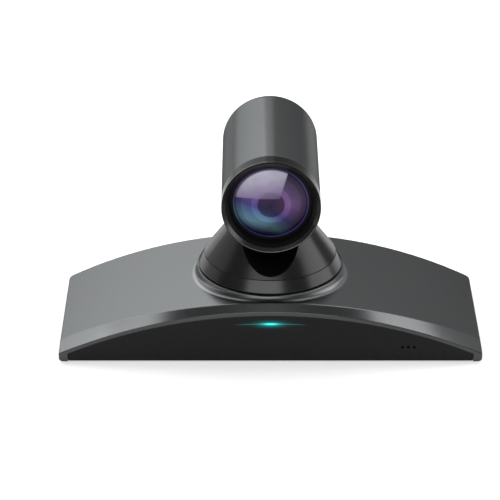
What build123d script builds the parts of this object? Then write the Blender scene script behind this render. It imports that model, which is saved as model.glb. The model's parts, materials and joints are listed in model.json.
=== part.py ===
from build123d import *
import os
from math import acos, cos, pi, radians, sin, sqrt, tan

# Conference camera on a bar-shaped base, with a barrel head that pans on a conical
# pedestal and tilts on a yoke. Millimetres. Origin on the pan axis, on the surface
# that the feet stand on. +X right, +Y to the back, +Z up. The lens looks along -Y.

# ---------------------------------------------------------------- driving dimensions
base_width = 380.0
base_front_y = -78.0
base_rear_y = 70.0
foot_lift = 1.5

crown_z = 57.5             # top of the arched shell, at the middle
shell_end_z = 11.8         # top of the shell at its two ends
rim_crown_z = 50.9         # front edge of the shell, at the middle
rim_end_z = 9.0
rim_height = 3.5           # height of the front rim above the panel
end_wall = 8.0             # width of the end walls beside the panel
shell_wall = 2.6
shell_rear_corner_r = 6.0
shell_rear_edge_r = 1.0

bevel_middle = 6.0         # depth of the bevel behind the rim, at the middle
bevel_growth = 2000.0      # the bevel deepens towards the ends as x^2 / bevel_growth

collar_top_z = 61.4
collar_top_r = 66.9
collar_foot_r = 67.9
collar_foot_z = 50.0
collar_foot_fillet = 5.0
pan_opening_r = 50.0

skirt_bottom_z = 62.8
skirt_bottom_r = 65.6
seam_z = 73.7
seam_r = 60.1
cone_slope = 0.7434        # loss of radius per millimetre of height
cone_wall = 2.4
seam_gap = 0.5

notch_r = 25.5             # U-shaped channel through the cone, front and back
notch_floor_z = 76.3

tilt_axis_z = 154.3
barrel_r = 43.5
barrel_wall = 2.5
barrel_half_length = 79.5
bezel_length = 14.5
barrel_rear_fillet = 12.5
tilt_limit = 25.0
sweep_clearance = 0.8

gear_module = 0.8
pan_gear_teeth = 108
pan_pinion_teeth = 18
belt_pitch = 2.0
tilt_pulley_teeth = 32
tilt_motor_pulley_teeth = 16

# ---------------------------------------------------------------- derived dimensions
half_width = base_width / 2
notch_centre_z = notch_floor_z + notch_r
barrel_inner_r = barrel_r - barrel_wall
tilt_pulley_r = tilt_pulley_teeth * belt_pitch / (2 * pi)
tilt_motor_pulley_r = tilt_motor_pulley_teeth * belt_pitch / (2 * pi)
pan_centre_distance = gear_module * (pan_gear_teeth + pan_pinion_teeth) / 2

# Levels inside the base
tray_top_z = foot_lift + 2.4
board_z = 8.0
board_top_z = 9.6
bracket_z = 32.0
bracket_top_z = 34.5
bearing_z = 27.0
bearing_top_z = 34.0
gear_z = 38.0
gear_top_z = 44.0
disc_z = 62.1
disc_top_z = 64.5
yoke_base_top_z = 67.0

# Hub and pan bearing
hub_r = 22.0
hub_bore_r = 17.0
hub_bottom_z = 24.0
inner_race_r = 24.4
outer_race_bore_r = 27.6
outer_race_r = 30.0
ball_r = 2.0
ball_circle_r = 26.0
ball_count = 16

# Yoke and tilt drive
arm_inner_x = 22.0
arm_outer_x = 24.5
arm_half_depth = 7.5
tilt_motor_z = 92.0
tilt_motor_r = 10.0
pulley_x0 = 18.0
pulley_x1 = 21.6
pulley_flange = 0.4
pulley_flange_rise = 1.4
belt_thickness = 1.2
belt_gap = 0.05
shaft_r = 3.0
bushing_r = 5.5
running_gap = 0.05

# Lens block, measured from the tilt axis
lens_tube_r = 17.0
lens_bore_r = 14.5
lens_cell_r = 36.5
front_glass_r = 33.4
glass_rim_y = -68.0
glass_back_y = -62.5
glass_sag = 5.5
cell_front_y = -68.3
cell_seat_y = -62.4
cell_back_y = -52.0
cone_end_y = -44.0
flange_y0 = 38.0
flange_y1 = 40.5
rod_offset = 11.6
rod_r = 1.0
screw_x = 9.0
screw_z = 24.0
screw_r = 1.5
zoom_y0 = 4.0
zoom_y1 = 8.0
zoom_travel = 22.0
focus_y0 = 20.0
focus_y1 = 23.5
focus_travel = 5.0
carriage_r = 13.8
carriage_lens_r = 9.0


# ---------------------------------------------------------------- shape helpers
def block(x0, x1, y0, y1, z0, z1):
    centre = ((x0 + x1) / 2, (y0 + y1) / 2, (z0 + z1) / 2)
    return Pos(*centre) * Box(x1 - x0, y1 - y0, z1 - z0)


def rod_z(radius, z0, z1, x=0.0, y=0.0):
    return Pos(x, y, (z0 + z1) / 2) * Cylinder(radius, z1 - z0)


def rod_y(radius, y0, y1, x=0.0, z=0.0):
    return Pos(x, (y0 + y1) / 2, z) * Rot(90, 0, 0) * Cylinder(radius, y1 - y0)


def rod_x(radius, x0, x1, y=0.0, z=0.0):
    return Pos((x0 + x1) / 2, y, z) * Rot(0, 90, 0) * Cylinder(radius, x1 - x0)


def ring_z(outer_r, inner_r, z0, z1, x=0.0, y=0.0):
    return rod_z(outer_r, z0, z1, x, y) - rod_z(inner_r, z0 - 1, z1 + 1, x, y)


def frustum(r0, z0, r1, z1):
    return Pos(0, 0, (z0 + z1) / 2) * Cone(r0, r1, z1 - z0)


def turned_about_y(points):
    """Solid of revolution about the Y axis from (radius, y) points."""
    face = make_face(Polyline(*points, close=True))
    return revolve(face, axis=Axis.Y)


def mirrored_x(shape):
    return shape + mirror(shape, about=Plane.YZ)


def fuse(parts):
    whole = parts[0]
    for part in parts[1:]:
        whole = whole + part
    return whole


def cut(shape, tools):
    for tool in tools:
        shape = shape - tool
    return shape


def at_tilt_axis(shape):
    return Pos(0, 0, tilt_axis_z) * shape


# ---------------------------------------------------------------- arched profiles
def arch_radius(crown, end, span):
    rise = crown - end
    return (span * span + rise * rise) / (2 * rise)


def arch_z(x, crown, end, span):
    radius = arch_radius(crown, end, span)
    return crown - radius + sqrt(radius * radius - x * x)


def arch_prism(crown, end, span, y0, y1, bottom_z):
    """Prism along Y with a flat bottom, upright ends and an arched top."""
    sides = Polyline((-span, end), (-span, bottom_z), (span, bottom_z), (span, end))
    top = ThreePointArc((-span, end), (0, crown), (span, end))
    face = Plane.XZ.offset(-y1) * make_face(sides + top)
    return extrude(face, amount=y1 - y0)


def shell_top(x):
    return arch_z(x, crown_z, shell_end_z, half_width)


def rim_top(x):
    return arch_z(x, rim_crown_z, rim_end_z, half_width)


panel_half = half_width - end_wall
panel_crown = rim_crown_z - rim_height
panel_end = rim_top(panel_half) - rim_height


# ---------------------------------------------------------------- base: casing
def bevel_tool():
    """Wedge above the bevel between the front rim and the crease on the shell's top."""
    ahead = 1.0
    beyond = 1.5
    stations = [-191, -150, -100, -50, 0, 50, 100, 150, 191]
    sections = []
    for x in stations:
        inside_x = min(abs(x), half_width)
        depth = bevel_middle + inside_x ** 2 / bevel_growth
        slope = (shell_top(inside_x) - rim_top(inside_x)) / depth
        low = rim_top(inside_x) - slope * ahead
        high = shell_top(inside_x) + slope * beyond
        front = base_front_y - ahead
        back = base_front_y + depth + beyond
        outline = Polyline((front, low), (back, high), (back, high + 8), (front, high + 8), close=True)
        sections.append(Plane.YZ.offset(x) * make_face(outline))
    return loft(sections)


def boss_places():
    return [(sx * 172, y) for sx in (-1, 1) for y in (-45, 55)] + [(-70, -60), (70, -60)]


def casing_plan():
    """Upright prism over the base's plan, with its two rear corners rounded."""
    prism = block(-half_width, half_width, base_front_y, base_rear_y, 0, crown_z + 1)
    rear_corners = prism.edges().filter_by(Axis.Z).group_by(Axis.Y)[-1]
    return fillet(rear_corners, shell_rear_corner_r)


def casing_outside():
    body = arch_prism(crown_z, shell_end_z, half_width, base_front_y, base_rear_y, foot_lift)
    low_edges = body.edges().filter_by(Axis.Y).group_by(Axis.Z)[0]
    body = fillet(low_edges, 3.5)
    upper_edges = body.edges().filter_by(Axis.Y).filter_by_position(Axis.Z, shell_end_z - 1, shell_end_z + 1)
    body = fillet(upper_edges, 1.2)
    rear_edges = body.faces().sort_by(Axis.Y)[-1].edges()
    body = fillet(rear_edges, shell_rear_edge_r)
    return (body & casing_plan()) - bevel_tool()


def top_shell():
    body = casing_outside()
    collar = frustum(collar_foot_r, collar_foot_z, collar_top_r, collar_top_z)
    collar = fillet(collar.edges().group_by(Axis.Z)[-1], 0.7)
    joined = body + collar
    foot = [
        edge for edge in joined.edges()
        if edge.geom_type != GeomType.CIRCLE
        and abs(edge.center().X) < 80
        and 66 < sqrt(edge.position_at(0.37).X ** 2 + edge.position_at(0.37).Y ** 2) < 72
        and edge.position_at(0.37).Z > 48
    ]
    joined = fillet(foot, collar_foot_fillet)
    rear_inner_y = base_rear_y - 2.2
    step_y = -58.0
    ledge_y = -74.7
    front_recess = arch_prism(panel_crown, panel_end, panel_half, base_front_y - 1, ledge_y, -1)
    ledge_cavity = arch_prism(panel_crown - 2.2, panel_end - 2.0, panel_half - 2, ledge_y - 1, step_y + 1, -1)
    cavity_end = shell_top(half_width - 4) - shell_wall
    main_cavity = arch_prism(crown_z - shell_wall, cavity_end, half_width - 4, step_y, rear_inner_y, -1)
    joined = cut(joined, [front_recess, ledge_cavity, main_cavity])
    joined = joined - rod_z(collar_top_r - 4.4, crown_z - 8, collar_top_z - 3)
    joined = joined - rod_z(pan_opening_r, crown_z - 10, collar_top_z + 1)
    joined = joined - block(-116, 116, rear_inner_y - 1, base_rear_y + 1, 8.5, 31)
    for x, y in boss_places():
        post_top = shell_top(abs(x) + 4) - 1.0
        post = rod_z(4, tray_top_z, min(post_top, 46), x, y)
        joined = joined + (post - rod_z(1.25, tray_top_z - 1, tray_top_z + 9, x, y))
    return joined


def front_panel():
    gap = 0.25
    front = base_front_y + 0.9
    back = -74.7
    plate = arch_prism(panel_crown - gap, panel_end - gap, panel_half - gap, front, back, foot_lift + 0.3)
    corners = plate.edges().filter_by(Axis.Y)
    plate = fillet(corners, 1.0)
    for step in (-1, 0, 1):
        plate = plate - rod_y(1.25, front - 1, back + 1, mic_x + step * mic_pitch, mic_z)
    return plate - light_bar(front - 1, back + 1, 0.1)


mic_x = 123.5
mic_pitch = 5.3
mic_z = 15.5
light_z = 38.8
light_half = 34.0


def light_bar(y0, y1, grow):
    """Thin bar with slightly drooping, tapered ends."""
    half = light_half + grow
    tip = 0.35 + grow
    rise = 1.1 + grow
    droop = light_z - 0.9
    upper = ThreePointArc((-half, droop + tip), (0, light_z + rise), (half, droop + tip))
    lower = ThreePointArc((-half, droop - tip), (0, light_z - rise), (half, droop - tip))
    left = Line((-half, droop + tip), (-half, droop - tip))
    right = Line((half, droop + tip), (half, droop - tip))
    face = Plane.XZ.offset(-y1) * make_face(upper + right + lower + left)
    return extrude(face, amount=y1 - y0)


def light_guide():
    return light_bar(base_front_y + 0.9, -72.0, 0.0)


def led_board():
    board = block(-39, 39, -70.5, -69, light_z - 5, light_z + 4)
    leds = [block(x - 1.5, x + 1.5, -71.3, -70.5, light_z - 1.2, light_z + 1.2) for x in range(-30, 31, 12)]
    return Compound(children=[board] + leds)


def mic_board():
    board = block(mic_x - 14, mic_x + 14, -74.4, -73.2, mic_z - 6, mic_z + 6)
    capsules = [
        rod_y(2.0, -73.2, -71.9, mic_x + step * mic_pitch, mic_z) for step in (-1, 0, 1)
    ]
    holes = [rod_y(0.6, -75, -73, mic_x + step * mic_pitch, mic_z) for step in (-1, 0, 1)]
    return Compound(children=[cut(board, holes)] + capsules)


def ir_receiver():
    body = block(-64, -56, -74, -70.4, 16, 24)
    lens = rod_y(2.4, -74.6, -72, -60, 20)
    leads = [block(x - 0.3, x + 0.3, -71.4, -70.8, 9.6, 16.1) for x in (-62.5, -60, -57.5)]
    return fuse([body, lens] + leads)


def bottom_tray():
    front = block(-179.7, 179.7, -74.4, -58.3, foot_lift, tray_top_z)
    rear = block(-185.7, 185.7, -58.3 + 0.6, base_rear_y - 2.5, foot_lift, tray_top_z)
    joint = block(-179.7, 179.7, -60, -55, foot_lift, tray_top_z)
    tray = fuse([front, rear, joint])
    tray = tray + rod_z(8, tray_top_z, foot_lift + 8)
    for x, y in board_posts():
        tray = tray + rod_z(3, tray_top_z, board_z, x, y)
    for x, y in foot_places():
        tray = tray - rod_z(foot_r, foot_lift - 1, foot_lift + 0.5, x, y)
    for x, y in boss_places():
        tray = tray - rod_z(1.7, foot_lift - 1, tray_top_z + 1, x, y)
        tray = tray - rod_z(3.0, foot_lift - 1, foot_lift + 1.2, x, y)
    tray = tray - rod_z(5, foot_lift - 1, foot_lift + 9)
    for side in (-1, 1):
        for column in range(12):
            x = side * (92 + column * 5.5)
            tray = tray - block(x - 1.1, x + 1.1, -22, 22, foot_lift - 1, tray_top_z + 1)
    return tray


foot_r = 9.0


def foot_places():
    return [(x, y) for x in (-152, 152) for y in (-56, 54)]


def rubber_feet():
    pads = []
    for x, y in foot_places():
        pad = rod_z(foot_r, 0, foot_lift + 0.5, x, y)
        pads.append(fillet(pad.edges().group_by(Axis.Z)[0], 0.6))
    return Compound(children=pads)


def tripod_insert():
    body = rod_z(5, foot_lift, foot_lift + 8)
    return body - rod_z(2.6, foot_lift - 1, foot_lift + 7)


def tray_screws():
    screws = []
    for x, y in boss_places():
        head = rod_z(2.7, foot_lift + 0.1, foot_lift + 1.2, x, y)
        shank = rod_z(1.25, foot_lift + 1.1, tray_top_z + 7, x, y)
        recess = rod_z(1.0, foot_lift - 1, foot_lift + 0.8, x, y)
        screws.append(head + shank - recess)
    return Compound(children=screws)


# ---------------------------------------------------------------- base: electronics
dc_x = 100.0
lan_x = 76.0
usb_x = 50.0
hdmi_xs = (24.0, 2.0, -20.0)
audio_xs = (-44.0, -58.0)
reset_x = -76.0
reset_z = 14.0
port_front_y = base_rear_y - 2.5
panel_y0 = base_rear_y - 4.4
panel_y1 = base_rear_y - 2.4
socket_gap = 0.2
insert_x0 = lan_x - 13
insert_x1 = lan_x + 13


def board_posts():
    return [(-155, -44), (-155, 58), (-72, -44), (112, 60), (-72, 40)]


def rear_panel():
    plate = block(-120, 120, panel_y0, panel_y1, 5, 35)
    gap = socket_gap
    openings = [
        block(insert_x0, insert_x1, 60, 70, 4, 36),
        block(dc_x - 4.5 - gap, dc_x + 4.5 + gap, 60, 70, board_top_z - gap, board_top_z + 11 + gap),
        block(usb_x - 7.2 - gap, usb_x + 7.2 + gap, 60, 70, board_top_z - gap, board_top_z + 16 + gap),
        rod_y(1.8, 60, 70, reset_x, reset_z),
    ]
    openings += [
        block(x - 7.5 - gap, x + 7.5 + gap, 60, 70, board_top_z - gap, board_top_z + 6.4 + gap) for x in hdmi_xs
    ]
    openings += [rod_y(3.5 + gap, 60, 70, x, board_top_z + 4) for x in audio_xs]
    return cut(plate, openings)


def network_insert():
    """Piece of the rear panel around the network socket, which clips in between the two plates."""
    seam = 0.1
    plate = block(insert_x0 + seam, insert_x1 - seam, panel_y0, panel_y1, 5, 35)
    gap = socket_gap
    return plate - block(lan_x - 8 - gap, lan_x + 8 + gap, 60, 70, board_top_z - gap, board_top_z + 13.5 + gap)


def main_board():
    left = block(-160, -68, -50, 64, board_z, board_top_z)
    rear = block(-69, 118, 46, 64, board_z, board_top_z)
    board = left + rear
    return cut(board, [rod_z(1.3, board_z - 1, board_top_z + 1, x, y) for x, y in board_posts()])


def main_board_chips():
    top = board_top_z
    processor = block(-125, -107, -4, 14, top, top + 1.5)
    memory = [block(-100, -90, y, y + 12, top, top + 1.1) for y in (-12, 4, 20)]
    network = block(60, 67.5, 47, 54, top, top + 1)
    inductors = [block(x, x + 8, 34, 42, top, top + 4) for x in (-150, -138, -126)]
    capacitors = [rod_z(3.5, top, top + 9, x, -38) for x in (-148, -138, -128, -118)]
    switch = block(reset_x - 3, reset_x + 3, 59.5, 63, top, top + 6)
    return Compound(children=[processor, network, switch] + memory + inductors + capacitors)


def heat_sink():
    z0 = board_top_z + 1.5
    plate = block(-136, -102, -18, 28, z0, z0 + 2)
    fins = [block(x, x + 1.2, -18, 28, z0 + 1.9, z0 + 13) for x in range(-136, -103, 4)]
    return fuse([plate] + fins)


def hdmi_ports():
    ports = []
    for x in hdmi_xs:
        z0 = board_top_z
        can = block(x - 7.5, x + 7.5, port_front_y - 12, port_front_y, z0, z0 + 6.4)
        mouth = block(x - 7.0, x + 7.0, port_front_y - 9, port_front_y + 1, z0 + 0.8, z0 + 5.7)
        chamfers = [
            Pos(x + side * 7.2, port_front_y - 4.5, z0 + 0.9) * Rot(0, 45, 0) * Box(2.6, 10, 2.6)
            for side in (-1, 1)
        ]
        tongue = block(x - 5.8, x + 5.8, port_front_y - 9.5, port_front_y - 1.2, z0 + 2.7, z0 + 3.7)
        ports.append(can - cut(mouth, chamfers) + tongue)
    return Compound(children=ports)


def usb_port():
    z0 = board_top_z
    can = block(usb_x - 7.2, usb_x + 7.2, port_front_y - 17, port_front_y, z0, z0 + 16)
    body = can
    for low in (1.6, 9.2):
        body = body - block(usb_x - 6.3, usb_x + 6.3, port_front_y - 13, port_front_y + 1, z0 + low, z0 + low + 5.2)
    for low in (1.6, 9.2):
        body = body + block(usb_x - 5.6, usb_x + 5.6, port_front_y - 13.5, port_front_y - 0.8,
                            z0 + low + 2.8, z0 + low + 4.6)
    return body


def lan_port():
    z0 = board_top_z
    can = block(lan_x - 8, lan_x + 8, port_front_y - 21, port_front_y, z0, z0 + 13.5)
    mouth = block(lan_x - 5.9, lan_x + 5.9, port_front_y - 15, port_front_y + 1, z0 + 4.4, z0 + 12)
    latch = block(lan_x - 3.1, lan_x + 3.1, port_front_y - 10, port_front_y + 1, z0 + 1.6, z0 + 4.5)
    return cut(can, [mouth, latch])


def dc_jack():
    z0 = board_top_z
    can = block(dc_x - 4.5, dc_x + 4.5, port_front_y - 14, port_front_y, z0, z0 + 11)
    socket = rod_y(3.0, port_front_y - 10, port_front_y + 1, dc_x, z0 + 6.2)
    pin = rod_y(1.0, port_front_y - 10.5, port_front_y - 0.8, dc_x, z0 + 6.2)
    return can - socket + pin


def audio_jacks():
    jacks = []
    for x in audio_xs:
        z0 = board_top_z
        can = block(x - 4, x + 4, port_front_y - 14, port_front_y - 2.2, z0, z0 + 8)
        nose = rod_y(3.5, port_front_y - 2.4, port_front_y, x, z0 + 4)
        jacks.append(can + nose - rod_y(1.75, port_front_y - 12, port_front_y + 1, x, z0 + 4))
    return Compound(children=jacks)


def reset_button():
    cap = rod_y(1.7, panel_y0 - 1.2, panel_y1 + 0.5, reset_x, reset_z)
    collar = rod_y(2.6, panel_y0 - 1.3, panel_y0 - 0.1, reset_x, reset_z)
    return fillet(cap.edges().group_by(Axis.Y)[-1], 0.3) + collar


def cable_harness():
    riser = rod_z(4, 16, 72)
    run = rod_y(4, 0, 49, 0, 16)
    bend = Pos(0, 0, 16) * Sphere(4)
    plug = block(-8, 8, 48, 53, board_top_z, board_top_z + 10.4)
    return fuse([riser, run, bend, plug])


# ---------------------------------------------------------------- pan drive
pan_motor_x = -pan_centre_distance
standoff_places = [(-62, -36), (-62, 36), (50, -36), (50, 36)]


def pan_bracket():
    plate = block(-68, 56, -42, 42, bracket_z, bracket_top_z)
    plate = fillet(plate.edges().filter_by(Axis.Z), 6)
    housing = rod_z(33, 26, bracket_top_z)
    body = plate + housing
    body = body - rod_z(outer_race_r, bearing_z, bracket_top_z + 1)
    body = body - rod_z(28.2, 20, bracket_top_z)
    body = body - rod_z(8.5, bracket_z - 1, bracket_top_z + 1, pan_motor_x, 0)
    for x, y in standoff_places:
        body = body - rod_z(1.6, bracket_z - 1, bracket_top_z + 1, x, y)
    return body


def bracket_standoffs():
    posts = []
    for x, y in standoff_places:
        post = rod_z(3, tray_top_z, bracket_z, x, y)
        stud = rod_z(1.5, bracket_z - 0.1, bracket_top_z + 0.4, x, y)
        head = rod_z(2.9, bracket_top_z, bracket_top_z + 1.8, x, y)
        posts.append(fuse([post, stud, head]))
    return Compound(children=posts)


def ball_groove():
    return Pos(0, 0, (bearing_z + bearing_top_z) / 2) * Torus(ball_circle_r, ball_r + 0.06)


def pan_bearing_outer():
    return ring_z(outer_race_r, outer_race_bore_r, bearing_z, bearing_top_z) - ball_groove()


def pan_bearing_inner():
    return ring_z(inner_race_r, hub_r, bearing_z, bearing_top_z) - ball_groove()


def pan_ball_cage():
    middle = (bearing_z + bearing_top_z) / 2
    cage = ring_z(26.7, 25.3, middle - 2.6, middle + 2.6)
    pocket = rod_x(ball_r + 0.06, ball_circle_r - 2, ball_circle_r + 2, 0, middle)
    ball = Pos(ball_circle_r, 0, middle) * Sphere(ball_r)
    balls = []
    for index in range(ball_count):
        turn = Rot(0, 0, 360 * index / ball_count)
        cage = cage - turn * pocket
        balls.append(turn * ball)
    return Compound(children=[cage] + balls)


def pan_motor():
    body = rod_z(14, 10, bracket_z, pan_motor_x, 0)
    ears = block(pan_motor_x - 4, pan_motor_x + 4, -21, 21, bracket_z - 1, bracket_z)
    foot = rod_z(12, tray_top_z + 2, 10.1, pan_motor_x, 0)
    return fuse([body, ears, foot]) - rod_z(2.5 + running_gap, 18, bracket_z + 1, pan_motor_x, 0)


def involute_gear(teeth, z0, z1, turn=0.0):
    """Spur gear centred on the Z axis, with a little backlash."""
    pressure = radians(20)
    backlash = 0.14
    pitch_r = gear_module * teeth / 2
    base_r = pitch_r * cos(pressure)
    tip_r = pitch_r + 0.88 * gear_module
    root_r = pitch_r - 1.2 * gear_module
    half_pitch_angle = (pi * gear_module / 2 - backlash) / (2 * pitch_r)
    involute_at_pitch = tan(pressure) - pressure

    def flank_angle(radius):
        if radius <= base_r:
            return half_pitch_angle + involute_at_pitch
        roll = acos(base_r / radius)
        return half_pitch_angle + involute_at_pitch - (tan(roll) - roll)

    low_r = max(base_r, root_r + 0.1)
    mid_r = (low_r + tip_r) / 2

    def point(radius, angle):
        return (radius * cos(angle), radius * sin(angle))

    edges = []
    step = 2 * pi / teeth
    for index in range(teeth):
        centre = index * step + radians(turn)
        rise = [point(r, centre - flank_angle(r)) for r in (low_r, mid_r, tip_r)]
        fall = [point(r, centre + flank_angle(r)) for r in (tip_r, mid_r, low_r)]
        foot_in = point(root_r, centre - flank_angle(low_r))
        foot_out = point(root_r, centre + flank_angle(low_r))
        next_foot = point(root_r, centre + step - flank_angle(low_r))
        edges.append(Line(foot_in, rise[0]))
        edges.append(ThreePointArc(*rise))
        edges.append(ThreePointArc(rise[2], point(tip_r, centre), fall[0]))
        edges.append(ThreePointArc(*fall))
        edges.append(Line(fall[2], foot_out))
        edges.append(ThreePointArc(foot_out, point(root_r, centre + step / 2), next_foot))
    face = Plane.XY.offset(z0) * make_face(edges)
    return extrude(face, amount=z1 - z0)


def pan_gear():
    rim = involute_gear(pan_gear_teeth, gear_z, gear_top_z)
    boss = rod_z(inner_race_r - 0.2, bearing_top_z, gear_z + 1)
    wheel = rim + boss - rod_z(hub_r, 20, gear_top_z + 1)
    for index in range(6):
        angle = radians(60 * index + 30)
        wheel = wheel - rod_z(4.5, gear_z - 1, gear_top_z + 1, 33.5 * cos(angle), 33.5 * sin(angle))
    return wheel


def pan_pinion():
    teeth = involute_gear(pan_pinion_teeth, gear_z + 0.3, gear_top_z - 0.3, turn=180 / pan_pinion_teeth)
    shaft = rod_z(2.5, 19, gear_top_z + 2)
    hub = rod_z(5, bracket_top_z + 0.5, gear_z + 0.4)
    return Pos(pan_motor_x, 0, 0) * fuse([teeth, shaft, hub])


def hub_nut():
    return ring_z(26, hub_r, hub_bottom_z, bearing_z)


def turntable():
    hub = rod_z(hub_r, hub_bottom_z, disc_z + 1)
    shoulder = frustum(26, gear_top_z, 34, disc_z + 0.5)
    disc = rod_z(61.5, disc_z, disc_top_z)
    body = fuse([hub, shoulder, disc]) - rod_z(hub_bore_r, hub_bottom_z - 1, disc_top_z + 1)
    for x, y in yoke_screw_places:
        body = body - rod_z(1.5, disc_z - 12, disc_top_z + 1, x, y)
    for index in range(8):
        angle = radians(45 * index + 22.5)
        body = body - rod_z(6, disc_z - 1, disc_top_z + 1, 44 * cos(angle), 44 * sin(angle))
    return body


# ---------------------------------------------------------------- pedestal
yoke_screw_places = [(x, y) for x in (-20, 20) for y in (-15.5, 15.5)]


def cone_radius(z):
    return seam_r - (z - seam_z) * cone_slope


def skirt_radius(z):
    share = (z - skirt_bottom_z) / (seam_z - skirt_bottom_z)
    return skirt_bottom_r + (seam_r - skirt_bottom_r) * share


cover_ring = 1.45
cover_spigot_r = seam_r - cone_wall - 0.2


def skirt_ring():
    top = seam_z - seam_gap / 2
    outer = frustum(skirt_bottom_r, skirt_bottom_z, skirt_radius(top), top)
    outer = fillet(outer.edges().group_by(Axis.Z)[0], 0.5)
    inner = frustum(skirt_bottom_r - cone_wall, skirt_bottom_z, skirt_radius(top) - cone_wall, top)
    inner = inner + rod_z(skirt_radius(top) - cone_wall, top - 1, top + 1)
    ledge = rod_z(skirt_radius(66) - 1, disc_top_z, disc_top_z + 2) - rod_z(50, disc_z, 70)
    ring = outer - inner - rod_z(skirt_bottom_r - cone_wall, skirt_bottom_z - 1, skirt_bottom_z + 0.01)
    return ring + ledge


def swept_barrel(grow):
    """Space that the tilting barrel passes through above the cone."""
    length = 2 * (barrel_half_length + grow)
    lying = Rot(90, 0, 0) * Cylinder(barrel_r + grow, length)
    tilted = [Rot(angle, 0, 0) * lying for angle in (-tilt_limit, tilt_limit)]
    return at_tilt_axis(tilted[0] + tilted[1])


def channel(radius, y0, y1):
    """U-shaped channel along Y, open upwards."""
    trough = rod_y(radius, y0, y1, 0, notch_centre_z)
    return trough + block(-radius, radius, y0, y1, notch_centre_z, notch_centre_z + 40)


def pedestal_cover():
    bottom = seam_z + seam_gap / 2
    top = 126.0
    ring_top = bottom + cover_ring
    outer = frustum(cone_radius(bottom), bottom, cone_radius(top), top)
    inner_foot = cone_radius(ring_top) - cone_wall
    inner = frustum(inner_foot, ring_top, cone_radius(top) - cone_wall, top)
    spigot = rod_z(cover_spigot_r, disc_top_z + 2, ring_top)
    cover = outer + spigot - inner
    cover = cover - rod_z(cover_spigot_r - 1.4, disc_top_z, ring_top + 0.01)
    cover = cut(cover, [channel(notch_r, -80, 80), swept_barrel(sweep_clearance)])
    return cover


def inner_shroud():
    """Black trough behind the two notches, with a roof over the tilt motor."""
    wall = 1.7
    roof = 1.3
    middle = 13.0
    floor_z = notch_floor_z - wall
    outside = channel(notch_r + wall, -70, 70)
    trough = outside - channel(notch_r, -80, -middle - 1.5) - channel(notch_r, middle + 1.5, 80)
    hollow = block(-notch_r - 0.2, notch_r + 0.2, -middle, middle, floor_z - 5, 140)
    trough = trough - (hollow - swept_barrel(sweep_clearance + roof))
    limit_r = cone_radius(floor_z) - cone_wall - 0.3
    top = 126.0
    limit = frustum(limit_r, floor_z, cone_radius(top) - cone_wall - 0.3, top)
    shroud = (trough & limit) - swept_barrel(sweep_clearance)
    ring_top = seam_z + seam_gap / 2 + cover_ring
    shroud = shroud - ring_z(70, cover_spigot_r - 1.6, floor_z - 5, ring_top + 0.2)
    arm_slot = block(arm_inner_x - 0.6, arm_outer_x + 0.8, -arm_half_depth - 0.8, arm_half_depth + 0.8, 70, 140)
    belt_slot = block(pulley_x0 - 0.6, arm_inner_x, -9, 9, 95, 140)
    return cut(shroud, [arm_slot, mirror(arm_slot, about=Plane.YZ), belt_slot])


def yoke_frame():
    base = block(-28, 28, -20, 20, disc_top_z, yoke_base_top_z)
    base = fillet(base.edges().filter_by(Axis.Z), 4) - rod_z(hub_bore_r, 60, 70)
    arm = block(arm_inner_x, arm_outer_x, -arm_half_depth, arm_half_depth, disc_top_z, tilt_axis_z)
    arm = arm + rod_x(arm_half_depth, arm_inner_x, arm_outer_x, 0, tilt_axis_z)
    arm = arm - rod_x(bushing_r, arm_inner_x - 1, arm_outer_x + 1, 0, tilt_axis_z)
    foot = Pos(arm_inner_x, 0, yoke_base_top_z) * Rot(0, 45, 0) * Box(4, 2 * arm_half_depth, 4)
    arms = mirrored_x(arm + (foot & block(18.2, arm_outer_x, -8, 8, yoke_base_top_z - 1, 75)))
    plate = block(13.5, 15.5, -tilt_motor_r - 1, tilt_motor_r + 1, disc_top_z, tilt_motor_z)
    plate = plate + rod_x(tilt_motor_r + 1, 13.5, 15.5, 0, tilt_motor_z)
    plate = plate - rod_x(3.0, 13, 16, 0, tilt_motor_z) - rod_z(hub_bore_r, 60, yoke_base_top_z)
    body = fuse([base, arms, plate])
    for x, y in yoke_screw_places:
        body = body - rod_z(1.6, disc_top_z - 1, yoke_base_top_z + 1, x, y)
    return body


def yoke_screws():
    screws = []
    for x, y in yoke_screw_places:
        head = rod_z(2.8, yoke_base_top_z, yoke_base_top_z + 2, x, y)
        shank = rod_z(1.5, disc_z, yoke_base_top_z + 0.1, x, y)
        socket = rod_z(1.2, yoke_base_top_z + 1, yoke_base_top_z + 3, x, y)
        screws.append(head + shank - socket)
    return Compound(children=screws)


def tilt_motor():
    body = rod_x(tilt_motor_r, -8, 13.5, 0, tilt_motor_z)
    body = fillet(body.edges().group_by(Axis.X)[0], 1)
    pilot = rod_x(3.0, 13.4, 15.5, 0, tilt_motor_z)
    return body + pilot - rod_x(1.5 + running_gap, 5, 16, 0, tilt_motor_z)


def toothed_pulley(teeth, pitch_r, z):
    """Flanged timing pulley with round tooth gaps, its axis along X."""
    face_r = pitch_r - 0.25
    wheel = rod_x(face_r, pulley_x0, pulley_x1, 0, z)
    for index in range(teeth):
        angle = 2 * pi * index / teeth
        wheel = wheel - rod_x(0.5, pulley_x0, pulley_x1, face_r * cos(angle), z + face_r * sin(angle))
    rim_r = pitch_r + pulley_flange_rise
    near = rod_x(rim_r, pulley_x0, pulley_x0 + pulley_flange, 0, z)
    far = rod_x(rim_r, pulley_x1 - pulley_flange, pulley_x1, 0, z)
    return fuse([wheel, near, far])


def tilt_motor_pulley():
    wheel = toothed_pulley(tilt_motor_pulley_teeth, tilt_motor_pulley_r, tilt_motor_z)
    return wheel + rod_x(1.5, 6, pulley_x1, 0, tilt_motor_z)


def belt_outline(offset):
    upper = Pos(0, tilt_axis_z) * Circle(tilt_pulley_r - 0.25 + offset)
    lower = Pos(0, tilt_motor_z) * Circle(tilt_motor_pulley_r - 0.25 + offset)
    return make_hull((upper + lower).edges())


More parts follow.
